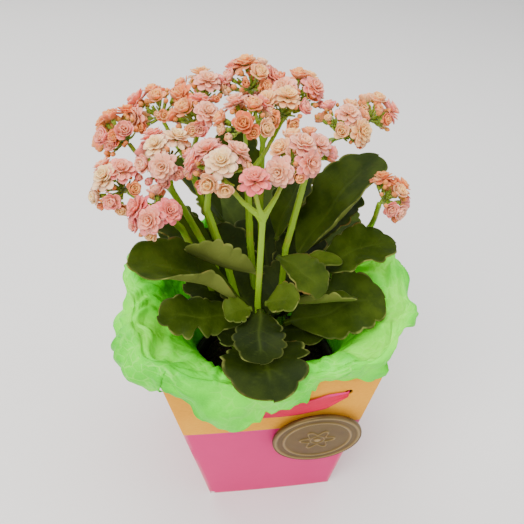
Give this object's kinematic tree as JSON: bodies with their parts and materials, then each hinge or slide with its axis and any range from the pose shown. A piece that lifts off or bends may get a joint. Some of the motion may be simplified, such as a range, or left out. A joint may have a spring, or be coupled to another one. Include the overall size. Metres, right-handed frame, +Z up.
{
  "type": "potted kalanchoe",
  "caption": "Double-flowered kalanchoe in a nursery pot, wrapped in a crumpled tissue collar and standing in a tapered card gift box with ribbon handles and a round seal.",
  "frame": {"origin": "on the floor at the middle of the gift box's flat bottom", "axes": "+Z up; the wall with the round seal faces -Y; +X to the right when looking at the seal"},
  "size_m": [0.197, 0.1716, 0.3062],
  "materials": {
    "card": "natural kraft card, printed pink below a straight line",
    "ribbon": "hot pink satin ribbon",
    "seal": "embossed board with a dull bronze metallic face",
    "foam": "white foam glue pad",
    "tissue": "thin bright green tissue paper, crumpled",
    "pot": "thin matt brown plastic",
    "soil": "dark damp peat",
    "stalk": "smooth yellow-green, slightly waxy",
    "leaf": "thick dark green, waxy upper side, paler olive below",
    "petals": "pale pink to cream petals with salmon buds and green calyces"
  },
  "bodies": {
    "root": {"gift_box": "card", "ribbon_front": "ribbon", "ribbon_back": "ribbon", "seal_disc": "seal", "seal_pad": "foam", "nursery_pot": "pot", "potting_soil": "soil", "tissue_collar": "tissue", "stem_back": "stalk", "stem_back_left": "stalk", "stem_centre": "stalk", "stem_front": "stalk", "stem_left": "stalk", "stem_left_inner": "stalk", "stem_left_low": "stalk", "stem_right": "stalk", "stem_right_front": "stalk", "stem_right_low": "stalk", "leaf_back_left_corner": "leaf", "leaf_back_low_left": "leaf", "leaf_back_low_right": "leaf", "leaf_back_right_corner": "leaf", "leaf_back_upright": "leaf", "leaf_centre_back": "leaf", "leaf_front_large": "leaf", "leaf_front_pair_left": "leaf", "leaf_front_pair_right": "leaf", "leaf_front_small": "leaf", "leaf_left_folded": "leaf", "leaf_left_front": "leaf", "leaf_left_inner_back": "leaf", "leaf_left_large": "leaf", "leaf_left_upper": "leaf", "leaf_right_edge_on": "leaf", "leaf_right_hanging": "leaf", "leaf_right_large": "leaf", "leaf_right_lobed": "leaf", "leaf_right_lower": "leaf", "leaf_right_middle": "leaf", "leaf_right_small": "leaf", "flowers_back": "petals", "flowers_back_left": "petals", "flowers_back_right": "petals", "flowers_centre": "petals", "flowers_centre_left": "petals", "flowers_centre_right": "petals", "flowers_far_left": "petals", "flowers_far_left_low": "petals", "flowers_far_right": "petals", "flowers_far_right_low": "petals", "flowers_front_left": "petals", "flowers_front_right": "petals", "flowers_front_single": "petals", "flowers_left_back": "petals", "flowers_left_front": "petals", "flowers_left_hanging": "petals", "flowers_left_inner": "petals", "flowers_rear": "petals", "flowers_right": "petals", "flowers_right_front": "petals"}
  },
  "joints": []
}
